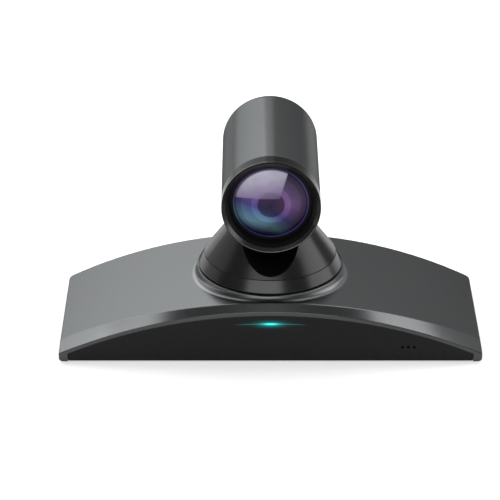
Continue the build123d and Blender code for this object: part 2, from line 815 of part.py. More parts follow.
def tilt_belt():
    band = belt_outline(belt_gap + belt_thickness) - belt_outline(belt_gap)
    x0 = pulley_x0 + pulley_flange + 0.1
    x1 = pulley_x1 - pulley_flange - 0.1
    return extrude(Plane.YZ.offset(x0) * band, amount=x1 - x0)


def tilt_bushings():
    bush = rod_x(bushing_r, arm_inner_x, arm_outer_x, 0, tilt_axis_z)
    bush = bush - rod_x(shaft_r + running_gap, 20, 30, 0, tilt_axis_z)
    return Compound(children=[bush, mirror(bush, about=Plane.YZ)])


# ---------------------------------------------------------------- head
funnel_end_r = 35.5
funnel_end_y = -68.7
plate_x0 = 27.0
plate_x1 = 29.0
shell_front_y = -barrel_half_length + bezel_length


def barrel_shell():
    outer = rod_y(barrel_r, shell_front_y, barrel_half_length)
    outer = fillet(outer.edges().group_by(Axis.Y)[-1], barrel_rear_fillet)
    inner = rod_y(barrel_inner_r, shell_front_y - 1, barrel_half_length - barrel_wall)
    inner = fillet(inner.edges().group_by(Axis.Y)[-1], barrel_rear_fillet - barrel_wall)
    body = outer - inner
    body = body - rod_y(28, barrel_half_length - 5, barrel_half_length + 1)
    return body - block(-26.3, 26.3, -30, 30, -barrel_r - 1, -22)


def rear_cap():
    disc = rod_y(27.8, barrel_half_length - 2.5, barrel_half_length - 0.3)
    disc = fillet(disc.edges().group_by(Axis.Y)[-1], 0.6)
    flange = rod_y(30.5, barrel_half_length - 4.5, barrel_half_length - 2.5)
    return disc + flange


def front_bezel():
    front = -barrel_half_length
    points = [
        (barrel_r, shell_front_y),
        (barrel_r, front + 0.6),
        (barrel_r - 0.6, front),
        (42.4, front),
        (36.9, front + 5.2),
        (funnel_end_r, funnel_end_y),
        (37.2, funnel_end_y),
        (37.2, -60.0),
        (barrel_inner_r, -60.0),
        (barrel_inner_r, shell_front_y),
    ]
    return turned_about_y(points)


def domed_lens(radius, rim_y, back_y, front_sag, back_sag, x=0.0, z=0.0):
    """Glass disc with domed faces, its axis along Y, front towards -Y."""
    front = dome_edge(radius, rim_y, -front_sag)
    back = dome_edge(radius, back_y, back_sag)
    side = Line((radius, rim_y), (radius, back_y))
    middle = Line((0, rim_y - front_sag), (0, back_y + back_sag))
    face = make_face(front + side + back + middle)
    return Pos(x, 0, z) * revolve(face, axis=Axis.Y)


def dome_edge(radius, rim_y, sag):
    """Circular arc from the axis to the rim."""
    curve_r = (radius * radius + sag * sag) / (2 * abs(sag))
    side = 1 if sag > 0 else -1
    half = radius / 2
    mid_sag = sag - side * (curve_r - sqrt(curve_r ** 2 - half ** 2))
    return ThreePointArc((0, rim_y + sag), (half, rim_y + mid_sag), (radius, rim_y))


def front_lens():
    return domed_lens(front_glass_r, glass_rim_y, glass_back_y, glass_sag, -2.0)


def lens_housing():
    points = [
        (lens_cell_r, cell_front_y),
        (lens_cell_r, cell_back_y),
        (lens_tube_r, cone_end_y),
        (lens_tube_r, flange_y1),
        (10.0, flange_y1),
        (10.0, flange_y0),
        (lens_bore_r, flange_y0),
        (lens_bore_r, cone_end_y + 1),
        (10.0, cone_end_y + 1),
        (10.0, cone_end_y - 1),
        (30.0, cell_back_y - 2),
        (31.0, -58.5),
        (31.0, cell_seat_y),
        (front_glass_r + 0.05, cell_seat_y),
        (front_glass_r + 0.05, cell_front_y),
    ]
    body = turned_about_y(points)
    flange = block(-20, 20, flange_y0, flange_y1, -19, 31) - rod_y(lens_tube_r - 1, 30, 50)
    lug = block(-14, 14, -37, -34.5, 10, 29) - rod_y(lens_tube_r - 1, -40, -30)
    rail = block(-20, 20, flange_y1 - 0.1, 45, 8.3, 10.5) + block(-20, 20, 44.2, 45, 7.3, 8.4)
    rails = rail + mirror(rail, about=Plane.XY)
    posts = [rod_y(1.5, flange_y1 - 0.1, 48, sx * 14, sz * 14) for sx in (-1, 1) for sz in (-1, 1)]
    body = fuse([body, flange, lug, rails] + posts)
    slots = [
        block(-screw_x - 2.2, -screw_x + 2.2, zoom_y0 - zoom_travel - 2, zoom_y1 + 2, 5, 20),
        block(screw_x - 2.2, screw_x + 2.2, focus_y0 - focus_travel - 2, focus_y1 + focus_travel + 2, 5, 20),
    ]
    bores = [rod_y(screw_r + running_gap, -40, 45, sx * screw_x, screw_z) for sx in (-1, 1)]
    rods = [rod_y(rod_r, -44.5, 39.5, 0, sz * rod_offset) for sz in (-1, 1)]
    return cut(body, slots + bores + rods)


def guide_rods():
    return Compound(children=[rod_y(rod_r, -44.5, 39.5, 0, sz * rod_offset) for sz in (-1, 1)])


def carriage(y0, y1, side):
    ring = rod_y(carriage_r, y0, y1) - rod_y(carriage_lens_r, y0 - 1, y1 + 1)
    arm_x = side * screw_x
    arm = block(arm_x - 1.6, arm_x + 1.6, y0, y1, 9.2, screw_z)
    nut = rod_y(3.2, y0, y1, arm_x, screw_z)
    body = ring + ((arm - rod_y(carriage_lens_r + 0.5, y0 - 1, y1 + 1)) + nut)
    body = body - rod_y(screw_r + running_gap, y0 - 1, y1 + 1, arm_x, screw_z)
    for sz in (-1, 1):
        body = body - rod_y(rod_r + running_gap, y0 - 1, y1 + 1, 0, sz * rod_offset)
    return body


def zoom_carriage():
    return carriage(zoom_y0, zoom_y1, -1)


def focus_carriage():
    return carriage(focus_y0, focus_y1, 1)


def zoom_lens():
    return domed_lens(carriage_lens_r, zoom_y0 + 1, zoom_y1 - 1, 1.6, 1.6)


def focus_lens():
    return domed_lens(carriage_lens_r, focus_y0 + 1, focus_y1 - 1, 1.2, 1.2)


def lead_screw(side):
    shaft = rod_y(screw_r, -37, 46, side * screw_x, screw_z)
    return shaft


def lens_motors():
    motors = []
    for side in (-1, 1):
        body = rod_y(6, flange_y1, 55, side * screw_x, screw_z)
        motors.append(body - rod_y(screw_r + running_gap, 40, 47, side * screw_x, screw_z))
    return Compound(children=motors)


def ir_cut_filter():
    plate = block(-7, 19, 42, 44, -8.1, 8.1)
    clear = block(-5, 5, 41, 45, -5, 5)
    dark = block(7, 17, 41, 45, -5, 5)
    panes = [block(x0, x0 + 10, 42.6, 43.4, -5, 5) for x0 in (-5, 7)]
    return Compound(children=[cut(plate, [clear, dark])] + panes)


def sensor_board():
    board = block(-17, 17, 48, 49.6, -17, 17)
    chip = block(-7, 7, 46.4, 48, -6, 6)
    return Compound(children=[board, chip])


def camera_board():
    board = block(-29, 29, 60, 61.6, -20, 20)
    chips = [
        block(-12, 4, 61.6, 62.9, -8, 8),
        block(10, 18, 61.6, 62.6, -10, 0),
        block(-24, -16, 61.6, 65.6, 4, 14),
    ]
    return Compound(children=[board] + chips)


def head_chassis():
    front = rod_y(barrel_inner_r, -41, -39) - rod_y(lens_tube_r + 0.05, -42, -38)
    rear = rod_y(barrel_inner_r, 36, flange_y0) - rod_y(lens_tube_r + 0.05, 35, 39)
    for side in (-1, 1):
        rear = rear - rod_y(3.4, 35, 39, side * screw_x, screw_z)
    side_plate = block(plate_x0, plate_x1, -40, 37, -22, 22)
    boss = rod_x(7, plate_x0, plate_x1, 0, 0)
    plates = mirrored_x(side_plate + boss - rod_x(shaft_r, 20, 35))
    posts = [rod_y(2, flange_y0 - 0.5, 60, sx * 25.5, sz * 17) for sx in (-1, 1) for sz in (-1, 1)]
    body = fuse([front, rear, plates] + posts)
    return body


def tilt_shafts():
    right = rod_x(shaft_r, pulley_x0, plate_x1 + 0.1) + rod_x(5, plate_x1, plate_x1 + 2)
    left = rod_x(shaft_r, -plate_x1 - 0.1, -arm_inner_x + 0.6) + rod_x(5, -plate_x1 - 2, -plate_x1)
    return Compound(children=[right, left])


def tilt_pulley():
    return toothed_pulley(tilt_pulley_teeth, tilt_pulley_r, 0) - rod_x(shaft_r, 10, 30)


# ---------------------------------------------------------------- export
def base_nodes():
    return {
        "top_shell": top_shell(),
        "front_panel": front_panel(),
        "bottom_tray": bottom_tray(),
        "rear_panel": rear_panel(),
        "network_insert": network_insert(),
        "rubber_feet": rubber_feet(),
        "light_guide": light_guide(),
        "led_board": led_board(),
        "mic_board": mic_board(),
        "ir_receiver": ir_receiver(),
        "main_board": main_board(),
        "main_board_chips": main_board_chips(),
        "heat_sink": heat_sink(),
        "hdmi_ports": hdmi_ports(),
        "usb_port": usb_port(),
        "lan_port": lan_port(),
        "dc_jack": dc_jack(),
        "audio_jacks": audio_jacks(),
        "reset_button": reset_button(),
        "cable_harness": cable_harness(),
        "tripod_insert": tripod_insert(),
        "tray_screws": tray_screws(),
        "pan_bracket": pan_bracket(),
        "bracket_standoffs": bracket_standoffs(),
        "pan_bearing_outer": pan_bearing_outer(),
        "pan_motor": pan_motor(),
        "pan_ball_cage": pan_ball_cage(),
        "pan_pinion": pan_pinion(),
    }


def pan_nodes():
    return {
        "turntable": turntable(),
        "pan_bearing_inner": pan_bearing_inner(),
        "pan_gear": pan_gear(),
        "hub_nut": hub_nut(),
        "skirt_ring": skirt_ring(),
        "pedestal_cover": pedestal_cover(),
        "inner_shroud": inner_shroud(),
        "yoke_frame": yoke_frame(),
        "yoke_screws": yoke_screws(),
        "tilt_motor": tilt_motor(),
        "tilt_motor_pulley": tilt_motor_pulley(),
        "tilt_belt": tilt_belt(),
        "tilt_bushings": tilt_bushings(),
    }


def head_nodes():
    head = {
        "barrel_shell": barrel_shell(),
        "rear_cap": rear_cap(),
        "front_bezel": front_bezel(),
        "front_lens": front_lens(),
        "lens_housing": lens_housing(),
        "guide_rods": guide_rods(),
        "zoom_carriage": zoom_carriage(),
        "zoom_lens": zoom_lens(),
        "zoom_screw": lead_screw(-1),
        "focus_carriage": focus_carriage(),
        "focus_lens": focus_lens(),
        "focus_screw": lead_screw(1),
        "lens_motors": lens_motors(),
        "ir_cut_filter": ir_cut_filter(),
        "sensor_board": sensor_board(),
        "camera_board": camera_board(),
        "head_chassis": head_chassis(),
        "tilt_shafts": tilt_shafts(),
        "tilt_pulley": tilt_pulley(),
    }
    return {name: at_tilt_axis(shape) for name, shape in head.items()}


os.makedirs("parts", exist_ok=True)
for name, shape in {**base_nodes(), **pan_nodes(), **head_nodes()}.items():
    export_step(shape, "parts/" + name + ".step")
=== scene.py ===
import json
import math

import bpy
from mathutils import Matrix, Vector


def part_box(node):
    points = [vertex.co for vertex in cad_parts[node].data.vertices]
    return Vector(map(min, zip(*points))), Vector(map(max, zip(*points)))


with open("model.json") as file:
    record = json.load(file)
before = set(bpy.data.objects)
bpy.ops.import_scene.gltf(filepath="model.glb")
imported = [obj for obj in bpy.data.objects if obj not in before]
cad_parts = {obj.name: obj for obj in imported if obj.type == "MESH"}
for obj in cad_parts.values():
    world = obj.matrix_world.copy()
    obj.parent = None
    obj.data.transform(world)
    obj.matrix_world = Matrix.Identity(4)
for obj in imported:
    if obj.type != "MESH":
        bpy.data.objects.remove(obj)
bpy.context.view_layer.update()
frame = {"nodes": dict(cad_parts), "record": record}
nodes = frame["nodes"]

# Places that the looks are worked out from, in metres.
barrel_low, barrel_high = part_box("barrel_shell")
axis_z = (barrel_low[2] + barrel_high[2]) / 2
glass_low, glass_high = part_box("front_lens")
glass_r = (glass_high[0] - glass_low[0]) / 2
bezel_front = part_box("front_bezel")[0][1]
funnel_mouth_r = glass_r + 0.0064
base_low, base_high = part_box("top_shell")
base_front, collar_top = base_low[1], base_high[2]
light_low, light_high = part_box("light_guide")
light_half = (light_high[0] - light_low[0]) / 2
light_z = (light_high[2] + light_low[2]) / 2


# ---------------------------------------------------------------- camera
def add_camera():
    """Long lens in front of the object and above it, looking down at the photograph's angle."""
    data = bpy.data.cameras.new("camera")
    data.sensor_width = 36.0
    data.lens = 171.86
    data.clip_end = 20.0
    camera = bpy.data.objects.new("camera", data)
    camera.location = (-0.0184, -1.9538, 1.0443)
    camera.rotation_euler = (math.radians(63.6), 0.0, 0.0)
    bpy.context.scene.collection.objects.link(camera)
    bpy.context.scene.camera = camera


# ---------------------------------------------------------------- light and floor
def softbox(name, azimuth, height, distance, size, radiance, aim=(0.0, 0.0, 0.1)):
    """Area light seen from the object at an azimuth from the back, positive to the right."""
    side = math.radians(azimuth)
    rise = math.radians(height)
    place = Vector(aim) + distance * Vector((
        math.cos(rise) * math.sin(side), math.cos(rise) * math.cos(side), math.sin(rise)
    ))
    data = bpy.data.lights.new(name, "AREA")
    data.shape = "RECTANGLE"
    data.size, data.size_y = size
    data.energy = radiance * math.pi * size[0] * size[1]
    light = bpy.data.objects.new(name, data)
    light.location = place
    light.rotation_euler = (Vector(aim) - place).to_track_quat("-Z", "Y").to_euler()
    light.visible_camera = False
    bpy.context.scene.collection.objects.link(light)


def add_world(strength):
    """Plain white surroundings."""
    world = bpy.data.worlds.new("studio")
    world.use_nodes = True
    background = world.node_tree.nodes["Background"]
    background.inputs["Color"].default_value = (1.0, 1.0, 1.0, 1.0)
    background.inputs["Strength"].default_value = strength
    bpy.context.scene.world = world


def add_floor(reach):
    """Pale matt floor that reaches this far each way, with a glow that evens it out."""
    mesh = bpy.data.meshes.new("floor")
    corners = [(-reach, -reach, 0), (reach, -reach, 0), (reach, reach, 0), (-reach, reach, 0)]
    mesh.from_pydata(corners, [], [(0, 1, 2, 3)])
    floor = bpy.data.objects.new("floor", mesh)
    bpy.context.scene.collection.objects.link(floor)
    material, _, shader = new_material("floor_paper")
    shader.inputs["Base Color"].default_value = (0.93, 0.93, 0.93, 1.0)
    shader.inputs["Roughness"].default_value = 1.0
    shader.inputs["Specular IOR Level"].default_value = 0.0
    shader.inputs["Emission Color"].default_value = (1.0, 1.0, 1.0, 1.0)
    shader.inputs["Emission Strength"].default_value = 0.45
    mesh.materials.append(material)


# ---------------------------------------------------------------- shader helpers
def new_material(name):
    material = bpy.data.materials.new(name)
    material.use_nodes = True
    tree = material.node_tree
    return material, tree, tree.nodes["Principled BSDF"]


def connect(tree, socket, target):
    tree.links.new(socket, target)


def source(socket):
    """The output that feeds a socket."""
    return socket.links[0].from_socket


def coordinates(tree):
    return tree.nodes.new("ShaderNodeTexCoord").outputs["Object"]


def axes(tree, place):
    """A place taken apart, to be read by the name of its axis."""
    split = tree.nodes.new("ShaderNodeSeparateXYZ")
    connect(tree, place, split.inputs["Vector"])
    return split.outputs


def stretched(tree, vector, scale):
    mapping = tree.nodes.new("ShaderNodeMapping")
    mapping.inputs["Scale"].default_value = scale
    connect(tree, vector, mapping.inputs["Vector"])
    return mapping.outputs["Vector"]


def noise(tree, vector, scale, detail=3.0, roughness=0.55):
    texture = tree.nodes.new("ShaderNodeTexNoise")
    texture.inputs["Scale"].default_value = scale
    texture.inputs["Detail"].default_value = detail
    texture.inputs["Roughness"].default_value = roughness
    connect(tree, vector, texture.inputs["Vector"])
    return texture.outputs["Fac"]


def turned_away(tree):
    """How far the surface turns away from the view: 0 face on, 1 edge on."""
    weight = tree.nodes.new("ShaderNodeLayerWeight")
    weight.inputs["Blend"].default_value = 0.5
    return weight.outputs["Facing"]


def span(tree, value, reach, result, smooth=False):
    """Map the reach of a value, low to high, onto a pair of results, held at its ends."""
    mapper = tree.nodes.new("ShaderNodeMapRange")
    if smooth:
        mapper.interpolation_type = "SMOOTHSTEP"
    for name, number in zip(("From Min", "From Max", "To Min", "To Max"), (*reach, *result)):
        mapper.inputs[name].default_value = number
    connect(tree, value, mapper.inputs["Value"])
    return mapper.outputs["Result"]


def calc(tree, operation, first, second=None):
    node = tree.nodes.new("ShaderNodeMath")
    node.operation = operation
    for index, value in enumerate((first, second)):
        if value is None:
            continue
        if isinstance(value, (int, float)):
            node.inputs[index].default_value = value
        else:
            connect(tree, value, node.inputs[index])
    return node.outputs[0]


def add(tree, first, second):
    return calc(tree, "ADD", first, second)


def subtract(tree, first, second):
    return calc(tree, "SUBTRACT", first, second)


def divide(tree, first, second):
    return calc(tree, "DIVIDE", first, second)


def multiply(tree, first, *others):
    for other in others:
        first = calc(tree, "MULTIPLY", first, other)
    return first


def square(tree, value):
    return calc(tree, "POWER", value, 2.0)


def length(tree, first, second):
    """Distance from the origin to a point with these two coordinates."""
    return calc(tree, "SQRT", add(tree, square(tree, first), square(tree, second)))


def bell(tree, squared):
    """Bell curve, 1 in the middle, of a distance that is already squared."""
    return calc(tree, "EXPONENT", multiply(tree, squared, -1.0))


def between(tree, factor, first, second):
    """The first value where the factor is 0, the second where it is 1."""
    return add(tree, first, multiply(tree, factor, subtract(tree, second, first)))


def mixed(tree, first, second, first_share):
    """Two noises as one tone."""
    return add(tree, multiply(tree, first, first_share), multiply(tree, second, 1.0 - first_share))


def scaled(colour, gain):
    return tuple(min(1.0, part * gain) for part in colour)


def blend_colours(tree, factor, first, second):
    mix = tree.nodes.new("ShaderNodeMix")
    mix.data_type = "RGBA"
    connect(tree, factor, mix.inputs[0])
    for index, value in ((6, first), (7, second)):
        if isinstance(value, tuple):
            mix.inputs[index].default_value = (*value, 1.0)
        else:
            connect(tree, value, mix.inputs[index])
    return mix.outputs[2]


def multiply_colours(tree, first, second, gain=1.0):
    product = tree.nodes.new("ShaderNodeVectorMath")
    product.operation = "MULTIPLY"
    connect(tree, first, product.inputs[0])
    connect(tree, second, product.inputs[1])
    if gain == 1.0:
        return product.outputs[0]
    more = tree.nodes.new("ShaderNodeVectorMath")
    more.operation = "SCALE"
    more.inputs["Scale"].default_value = gain
    connect(tree, product.outputs[0], more.inputs[0])
    return more.outputs[0]


def ramp(tree, factor, stops):
    """Colour that runs through stops, each a position and a colour."""
    node = tree.nodes.new("ShaderNodeValToRGB")
    elements = node.color_ramp.elements
    for element, (position, colour) in zip(elements, (stops[0], stops[-1])):
        element.position = position
        element.color = (*colour, 1.0)
    for position, colour in stops[1:-1]:
        elements.new(position).color = (*colour, 1.0)
    connect(tree, factor, node.inputs["Fac"])
    return node.outputs["Color"]


def set_colour(tree, shader, tone, dark, pale):
    connect(tree, blend_colours(tree, tone, dark, pale), shader.inputs["Base Color"])


def set_roughness(tree, shader, tone, reach, roughness):
    """Roughness that goes from one value to another over the reach of a tone."""
    connect(tree, span(tree, tone, reach, roughness), shader.inputs["Roughness"])


def set_gloss(shader, metallic=0.0, specular=0.5, ior=1.5):
    shader.inputs["Metallic"].default_value = metallic
    shader.inputs["Specular IOR Level"].default_value = specular
    shader.inputs["IOR"].default_value = ior


def bump(tree, shader, height, distance, strength=1.0, edge=None):
    """Bump the surface, over edges that are rounded by a small radius if one is given."""
    node = tree.nodes.new("ShaderNodeBump")
    node.inputs["Strength"].default_value = strength
    node.inputs["Distance"].default_value = distance
    connect(tree, height, node.inputs["Height"])
    if edge is not None:
        bevel = tree.nodes.new("ShaderNodeBevel")
        bevel.samples = 6
        bevel.inputs["Radius"].default_value = edge
        connect(tree, bevel.outputs["Normal"], node.inputs["Normal"])
    connect(tree, node.outputs["Normal"], shader.inputs["Normal"])


# ---------------------------------------------------------------- metals
def anodised(name, colour, edge=0.0007):
    """Fine bead-blasted and dyed aluminium: tiny pits, faint clouding, smooth sheen."""
    material, tree, shader = new_material(name)
    place = coordinates(tree)
    pits = noise(tree, place, 5200.0, 2.0, 0.6)
    clouds = noise(tree, place, 14.0)
    tone = mixed(tree, pits, clouds, 0.7)
    set_roughness(tree, shader, tone, (0.2, 0.8), (0.20, 0.27))
    set_gloss(shader, metallic=1.0, specular=0.0)
    # Painted shade: the colour is darkened, and the metal made less metallic, where the surface is seen at a
    # glancing angle.
    glance = turned_away(tree)
    connect(tree, span(tree, glance, (0.72, 0.90), (1.0, 0.08)), shader.inputs["Metallic"])
    shade = span(tree, glance, (0.70, 0.90), (1.0, 0.50))
    dye = blend_colours(tree, tone, scaled(colour, 0.94), scaled(colour, 1.06))
    connect(tree, multiply_colours(tree, dye, shade), shader.inputs["Base Color"])
    shader.inputs["Specular Tint"].default_value = (0.36, 0.36, 0.36, 1.0)
    bump(tree, shader, pits, 0.000006, 0.35, edge)
    return material


def base_anodised(name, colour):
    """The base's dye, with painted shade on the front rim, and a coarser turned collar round the neck that
    is painted paler at its sides and darker in front.
    """
    # Levels of painted shade and light, each a factor on the dye.
    rim_shade_level, collar_front_shade_level, collar_side_light_level, collar_edge_shade_level = 0.36, 0.50, 1.85, 0.9
    extra_roughness = 0.12
    # The collar's painted light and shade and its extra roughness fade out over its rounded foot, between
    # these two radii.
    foot_radii = (0.0688, 0.0724)
    material = anodised(name, colour, edge=0.0016)
    tree = material.node_tree
    shader = tree.nodes["Principled BSDF"]
    at = axes(tree, coordinates(tree))
    # Painted shade: the front face of the rim is darkened towards the front.
    painted_rim_shade = span(tree, at["Y"], (base_front + 0.0002, base_front + 0.0009), (rim_shade_level, 1.0))
    r = length(tree, at["X"], at["Y"])
    collar = span(tree, r, foot_radii, (1.0, 0.0), smooth=True)
    # Painted light and shade: the collar's wall is painted paler at the sides than in front, and its top
    # edge has one painted tone.
    facing_front = divide(tree, calc(tree, "ABSOLUTE", at["Y"]), r)
    collar_wall_light_and_shade = span(tree, facing_front, (0.45, 0.90), (collar_side_light_level, collar_front_shade_level), smooth=True)
    top_edge = span(tree, at["Z"], (collar_top - 0.0014, collar_top - 0.0007), (0.0, 1.0))
    collar_light_and_shade = between(tree, top_edge, collar_wall_light_and_shade, collar_edge_shade_level)
    # The painted rim shade and the collar's painted light and shade, as one factor on the dye.
    tone = multiply(tree, painted_rim_shade, between(tree, collar, 1.0, collar_light_and_shade))
    # This dye already holds the painted shade at glancing angles from anodised.
    dye = source(shader.inputs["Base Color"])
    connect(tree, multiply_colours(tree, dye, tone), shader.inputs["Base Color"])
    fine = source(shader.inputs["Roughness"])
    connect(tree, add(tree, fine, multiply(tree, collar, extra_roughness)), shader.inputs["Roughness"])
    return material


def turned_metal(name, colour, roughness, grain=(60.0, 60.0, 2500.0), tint=None):
    """Metal with fine parallel tool marks."""
    material, tree, shader = new_material(name)
    place = coordinates(tree)
    marks = noise(tree, stretched(tree, place, grain), 1.0, 3.0, 0.6)
    clouds = noise(tree, place, 60.0)
    tone = mixed(tree, marks, clouds, 0.6)
    set_colour(tree, shader, tone, scaled(colour, 0.8), tint or colour)
    set_roughness(tree, shader, tone, (0.2, 0.8), (roughness - 0.06, roughness + 0.08))
    set_gloss(shader, metallic=1.0)
    bump(tree, shader, marks, 0.00001, 0.3, edge=0.0002)
    return material


# ---------------------------------------------------------------- plastics
def moulded(name, colour, roughness, specular, scale=2600.0, depth=0.000012, edge=0.0003):
    """Injection-moulded plastic with a fine spark-eroded texture."""
    material, tree, shader = new_material(name)
    place = coordinates(tree)
    pits = noise(tree, place, scale, 3.0, 0.6)
    clouds = noise(tree, place, 22.0, 2.0)
    tone = mixed(tree, pits, clouds, 0.5)
    set_colour(tree, shader, tone, scaled(colour, 0.85), scaled(colour, 1.18))
    set_roughness(tree, shader, tone, (0.25, 0.75), (roughness - 0.035, roughness + 0.035))
    set_gloss(shader, specular=specular)
    bump(tree, shader, pits, depth, 0.4, edge)
    return material


def calm_edges(material, level):
    """Let the shine fade where the surface turns away, as it does on matt-textured plastic."""
    tree = material.node_tree
    shine = span(tree, turned_away(tree), (0.52, 0.86), (level, 0.01))
    connect(tree, shine, tree.nodes["Principled BSDF"].inputs["Specular IOR Level"])
    return material


def bezel_plastic(name, centre_z, funnel_r):
    """Satin ring, brightest low on its front face, round a funnel that is matt and near black."""
    funnel_shine, ring_shine = 0.03, 1.15
    material = moulded(name, (0.0060, 0.0060, 0.0063), 0.20, 0.30)
    tree = material.node_tree
    at = axes(tree, coordinates(tree))
    above = subtract(tree, at["Z"], centre_z)
    r = length(tree, at["X"], above)
    ring = span(tree, r, (funnel_r - 0.0006, funnel_r + 0.0004), (0.0, 1.0), smooth=True)
    front = span(tree, at["Y"], (bezel_front + 0.0022, bezel_front + 0.0034), (1.0, 0.12))
    low = span(tree, above, (-0.034, -0.006), (1.0, 0.10), smooth=True)
    face_on = span(tree, turned_away(tree), (0.55, 0.82), (1.0, 0.0))
    shine = span(tree, multiply(tree, ring, front, low, face_on), (0.0, 1.0), (funnel_shine, ring_shine))
    connect(tree, shine, tree.nodes["Principled BSDF"].inputs["Specular IOR Level"])
    return material


def circuit(name, mask, trace, specular=0.5):
    """Solder mask over copper tracks laid out on a fine grid."""
    material, tree, shader = new_material(name)
    place = coordinates(tree)
    cells = tree.nodes.new("ShaderNodeTexVoronoi")
    cells.distance = "MANHATTAN"
    cells.feature = "F1"
    cells.inputs["Scale"].default_value = 260.0
    connect(tree, place, cells.inputs["Vector"])
    tracks = span(tree, cells.outputs["Distance"], (0.42, 0.46), (0.0, 1.0))
    set_colour(tree, shader, tracks, mask, trace)
    set_roughness(tree, shader, noise(tree, place, 900.0), (0.3, 0.7), (0.28, 0.38))
    set_gloss(shader, specular=specular)
    bump(tree, shader, tracks, 0.00003, 0.5)
    return material


# ---------------------------------------------------------------- front panel and its light
def smoked_panel(name):
    """Gloss smoked front, lit from behind around the middle of the light bar."""
    glow_half_width, glow_half_height, glow_strength = 0.0105, 0.0026, 0.40
    material, tree, shader = new_material(name)
    place = coordinates(tree)
    haze = noise(tree, place, 30.0)
    fine = noise(tree, place, 1800.0, 2.0)
    tone = mixed(tree, haze, fine, 0.6)
    set_colour(tree, shader, tone, (0.0058, 0.0058, 0.006), (0.0086, 0.0086, 0.0088))
    set_roughness(tree, shader, tone, (0.25, 0.75), (0.24, 0.32))
    set_gloss(shader, specular=0.12)
    bump(tree, shader, fine, 0.000003, 0.25, edge=0.0003)
    at = axes(tree, place)
    across = square(tree, divide(tree, at["X"], glow_half_width))
    up = square(tree, divide(tree, subtract(tree, at["Z"], light_z), glow_half_height))
    glow = bell(tree, add(tree, across, up))
    shader.inputs["Emission Color"].default_value = (0.0, 0.62, 0.60, 1.0)
    connect(tree, multiply(tree, glow, glow_strength), shader.inputs["Emission Strength"])
    return material


def light_bar(name):
    """Light guide: bright in the middle, fading along both tapering arms."""
    core_fall, arm_strength, strength = 19.0, 0.72, 0.98
    # The bright line lies a little above the middle of the bar, droops to its ends and is thin there.
    line_height, line_droop = 0.0002, 0.0009
    arm_width, core_extra_width = 0.00062, 0.0007
    material, tree, shader = new_material(name)
    place = coordinates(tree)
    at = axes(tree, place)
    along = divide(tree, calc(tree, "ABSOLUTE", at["X"]), light_half)
    core = bell(tree, multiply(tree, square(tree, along), core_fall))
    arms = multiply(tree, subtract(tree, 1.0, along), arm_strength)
    droop = multiply(tree, square(tree, along), -line_droop)
    above = subtract(tree, at["Z"], light_z)
    off_line = subtract(tree, above, add(tree, droop, line_height))
    width = add(tree, multiply(tree, core, core_extra_width), arm_width)
    line = bell(tree, square(tree, divide(tree, off_line, width)))
    power = multiply(tree, add(tree, core, arms), line)
    grain = span(tree, noise(tree, place, 700.0), (0.3, 0.7), (0.93, 1.07))
    colour = blend_colours(tree, core, (0.02, 0.36, 0.36), (0.03, 0.86, 0.83))
    connect(tree, colour, shader.inputs["Emission Color"])
    connect(tree, multiply(tree, power, multiply(tree, grain, strength)), shader.inputs["Emission Strength"])
    set_colour(tree, shader, grain, (0.006, 0.008, 0.008), (0.008, 0.011, 0.011))
    shader.inputs["Roughness"].default_value = 0.25
    set_gloss(shader, specular=0.15)
    return material


# ---------------------------------------------------------------- glass
def clear_glass(name, tint, roughness=0.015):
    """Coated optical glass, with the faint unevenness of its coating."""
    material, tree, shader = new_material(name)
    coat = noise(tree, coordinates(tree), 40.0, 2.0)
    set_colour(tree, shader, coat, tint, scaled(tint, 1.05))
    set_roughness(tree, shader, coat, (0.3, 0.7), (roughness, roughness * 1.6))
    shader.inputs["Transmission Weight"].default_value = 1.0
    set_gloss(shader, specular=0.5, ior=1.12)
    return material


def reflection_hue(tree, u, w):
    """Hue of the painted reflections: dull violet at the top, then plum, blue-violet and teal, with navy at
    the bottom.

    The right half lags behind, so that plum reaches lower there.
    """
    cool = subtract(tree, multiply(tree, u, -0.30), w)
    right_half = calc(tree, "MAXIMUM", u, 0.0)
    cool = subtract(tree, cool, multiply(tree, right_half, 0.5))
    return ramp(tree, span(tree, cool, (-1.0, 1.0), (0.0, 1.0)), (
        (0.0, (0.045, 0.035, 0.075)), (0.30, (0.105, 0.055, 0.150)), (0.46, (0.090, 0.045, 0.150)),
        (0.58, (0.042, 0.036, 0.150)), (0.68, (0.055, 0.100, 0.190)), (0.80, (0.080, 0.165, 0.220)),
        (0.92, (0.020, 0.045, 0.090)), (1.0, (0.010, 0.014, 0.040)),
    ))


def painted_rings_light_and_shade(tree, r):
    """Painted light and shade in rings: a dark pupil, a pale ring, a wide zone and a dark edge with a thin
    bright line. Half the brightness at each radius, as a stop can't be brighter than 1.
    """
    pupil = ((0.0, 0.24), (0.33, 0.36))
    painted_light_ring = ((0.365, 1.35), (0.49, 1.50))
    wide_zone = ((0.52, 1.0), (0.75, 1.0), (0.775, 0.74), (0.87, 0.62))
    painted_edge_shade_and_line = ((0.90, 0.30), (0.935, 0.28), (0.95, 0.95), (0.965, 0.55), (0.985, 0.05), (1.0, 0.03))
    rings = pupil + painted_light_ring + wide_zone + painted_edge_shade_and_line
    return ramp(tree, r, [(radius, (bright / 2, bright / 2, bright / 2)) for radius, bright in rings])


